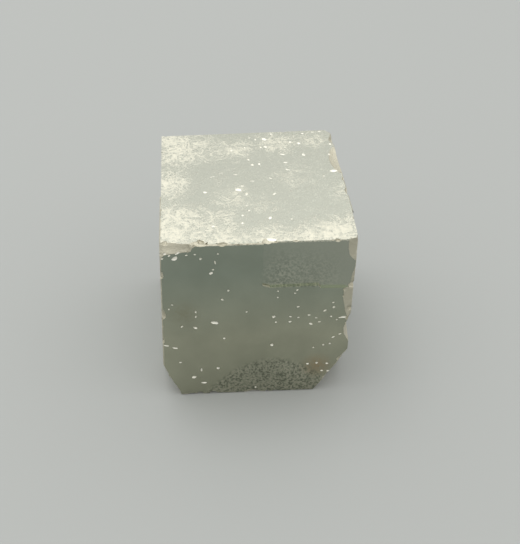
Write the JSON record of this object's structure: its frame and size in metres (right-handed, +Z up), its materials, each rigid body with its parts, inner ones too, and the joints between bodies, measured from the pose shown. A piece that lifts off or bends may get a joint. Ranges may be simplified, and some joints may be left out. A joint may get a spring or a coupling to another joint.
{
  "type": "pyrite cube crystal",
  "caption": "Natural cube-shaped pyrite crystal with flat metallic faces, shallow growth ledges, chipped edges and broken lower corners; rests on its flat base as a display stone.",
  "frame": {"origin": "middle of the bounding box's floor, on the surface that the crystal rests on", "axes": "+Z up, from the resting face to the top face; -Y towards the front face with the ledge at its upper right; +X to the right seen from the front"},
  "size_m": [0.0286, 0.031, 0.0293],
  "materials": {
    "pyrite": "satin"
  },
  "bodies": {
    "root": {"pyrite_cube": "pyrite"}
  },
  "joints": []
}
